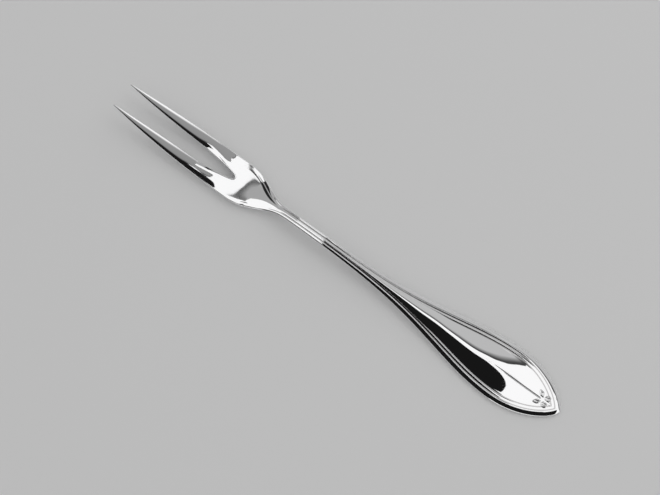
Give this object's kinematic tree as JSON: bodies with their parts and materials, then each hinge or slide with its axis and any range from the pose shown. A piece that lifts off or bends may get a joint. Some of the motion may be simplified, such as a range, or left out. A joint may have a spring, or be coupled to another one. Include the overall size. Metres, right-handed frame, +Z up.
{
  "type": "meat fork",
  "caption": "Serving fork for meat with long pointed tines, a slender neck and a broad leaf-shaped handle edged with fine raised threads, polished bright.",
  "frame": {"origin": "on the table, under the middle of the fork's length and width", "axes": "+X along the fork from the tail to the tine tips, +Y to the fork's left, +Z up from the table, with the fork lying face up"},
  "size_m": [0.2, 0.0226, 0.0062],
  "materials": {
    "polished_steel": "mirror-polished bright metal"
  },
  "bodies": {
    "root": {"handle_blade": "polished_steel", "shank": "polished_steel", "root": "polished_steel", "left_tine": "polished_steel", "right_tine": "polished_steel"}
  },
  "joints": []
}
